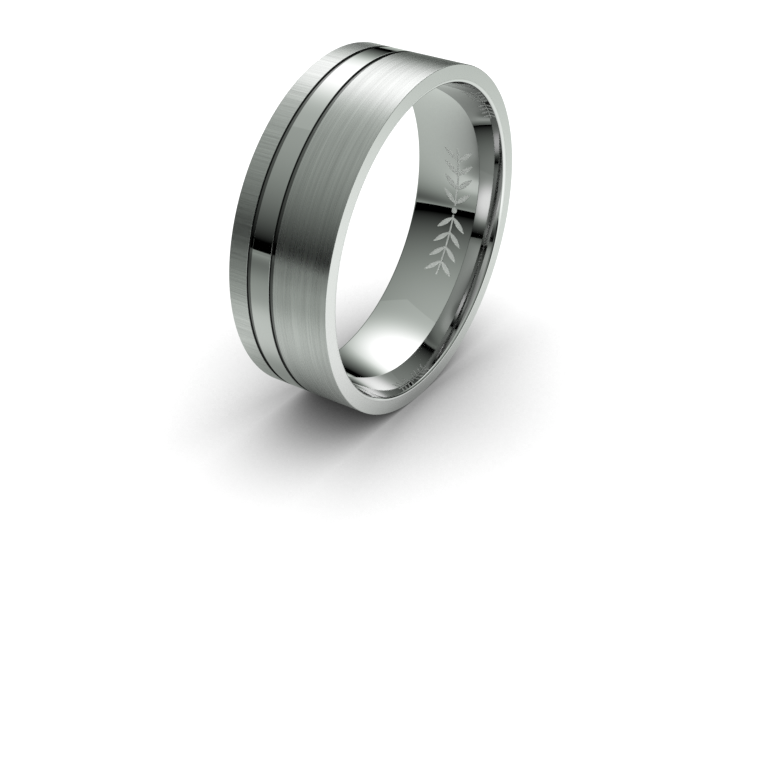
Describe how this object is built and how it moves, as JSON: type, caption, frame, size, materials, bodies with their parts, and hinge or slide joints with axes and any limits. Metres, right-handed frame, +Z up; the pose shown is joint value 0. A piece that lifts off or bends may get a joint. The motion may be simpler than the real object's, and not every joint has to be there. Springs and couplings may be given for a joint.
{
  "type": "wedding band",
  "caption": "Flat wide wedding band with a polished strip between grooves, brushed bands on each side and a comfort-fit bore.",
  "frame": {"origin": "centre of the ring, on its axis and midway between its two faces", "axes": "+Y along the ring's axis, from the wide brushed band towards the narrow one; +Z up, with the ring standing on its rim"},
  "size_m": [0.0228, 0.007, 0.0228],
  "materials": {
    "polished": "mirror polished white metal",
    "brushed_round": "satin, brushed round the ring",
    "brushed_across": "satin, brushed across the ring"
  },
  "bodies": {
    "root": {"comfort_fit_sleeve": "polished", "front_band": "brushed_round", "centre_band": "polished", "rear_band": "brushed_across"}
  },
  "joints": []
}
